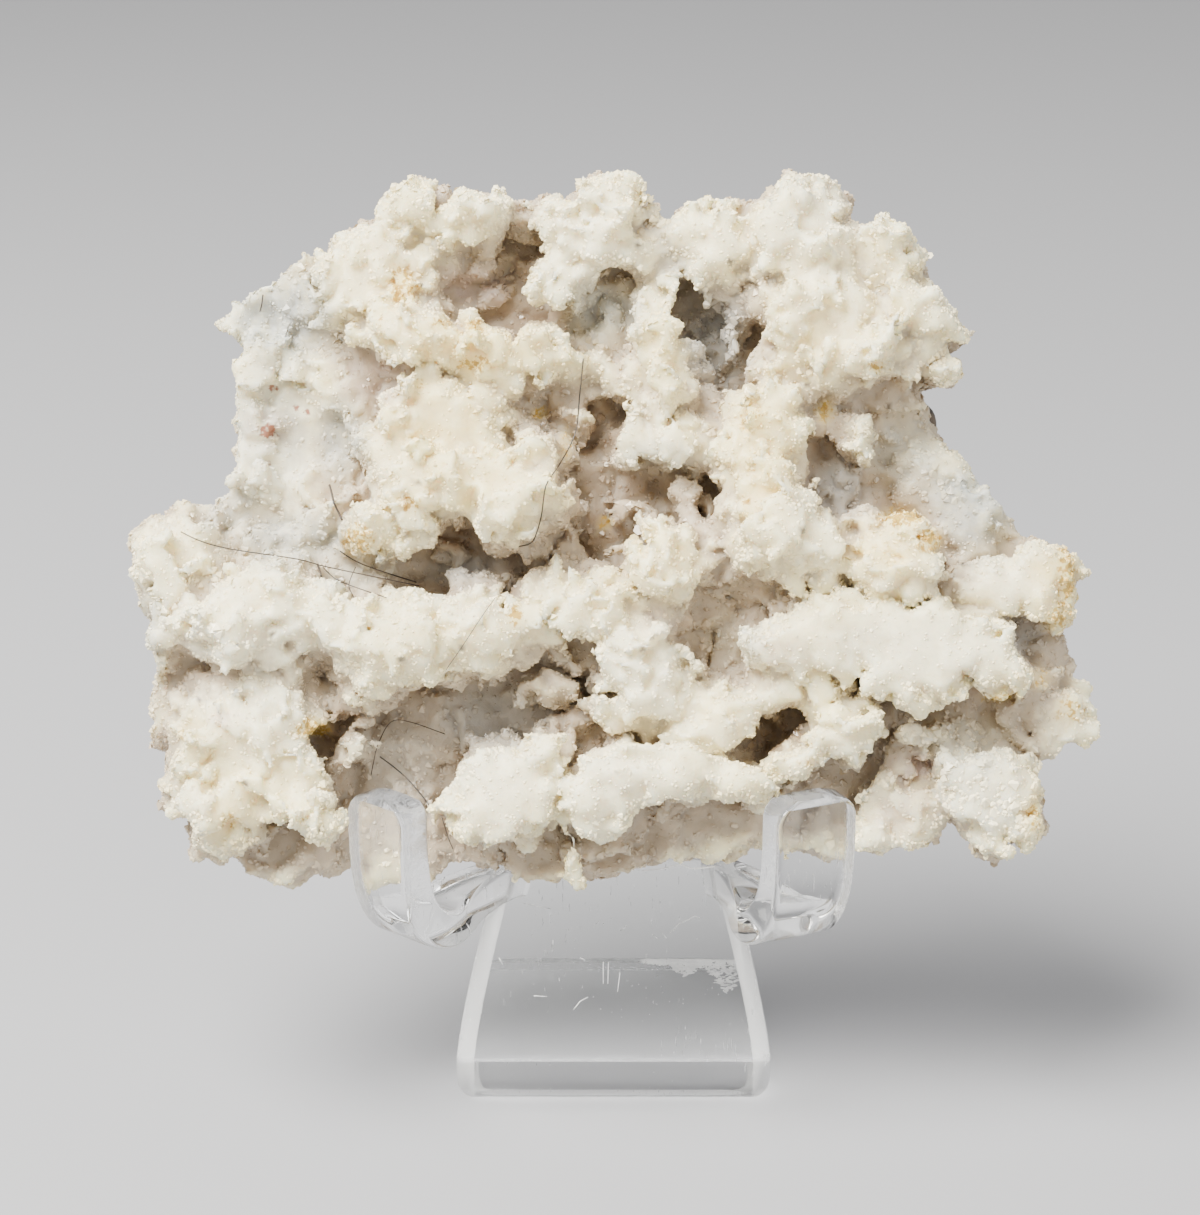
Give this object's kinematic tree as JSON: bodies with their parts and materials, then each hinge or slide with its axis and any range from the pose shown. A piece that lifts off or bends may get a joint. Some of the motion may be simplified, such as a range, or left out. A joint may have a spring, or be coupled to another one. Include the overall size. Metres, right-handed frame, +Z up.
{
  "type": "chalcedony cluster",
  "caption": "Drusy white and cream chalcedony specimen on dark rock, leaning on a bent clear acrylic display easel.",
  "frame": {"origin": "centre of the whole object's box, on the surface that the easel's base rests on", "axes": "+Z up, -Y towards the viewer of the stone's crystal face, +X to that viewer's right"},
  "size_m": [0.0719, 0.0286, 0.0717],
  "materials": {
    "chalcedony": "white to cream translucent drusy chalcedony with ochre stains and tan recesses",
    "basalt": "black volcanic rock, rough",
    "acrylic": "clear bent acrylic with polished edges, fine scratches"
  },
  "bodies": {
    "root": {"chalcedony_cluster": "chalcedony", "basalt_rind": "basalt", "acrylic_easel": "acrylic"}
  },
  "joints": []
}
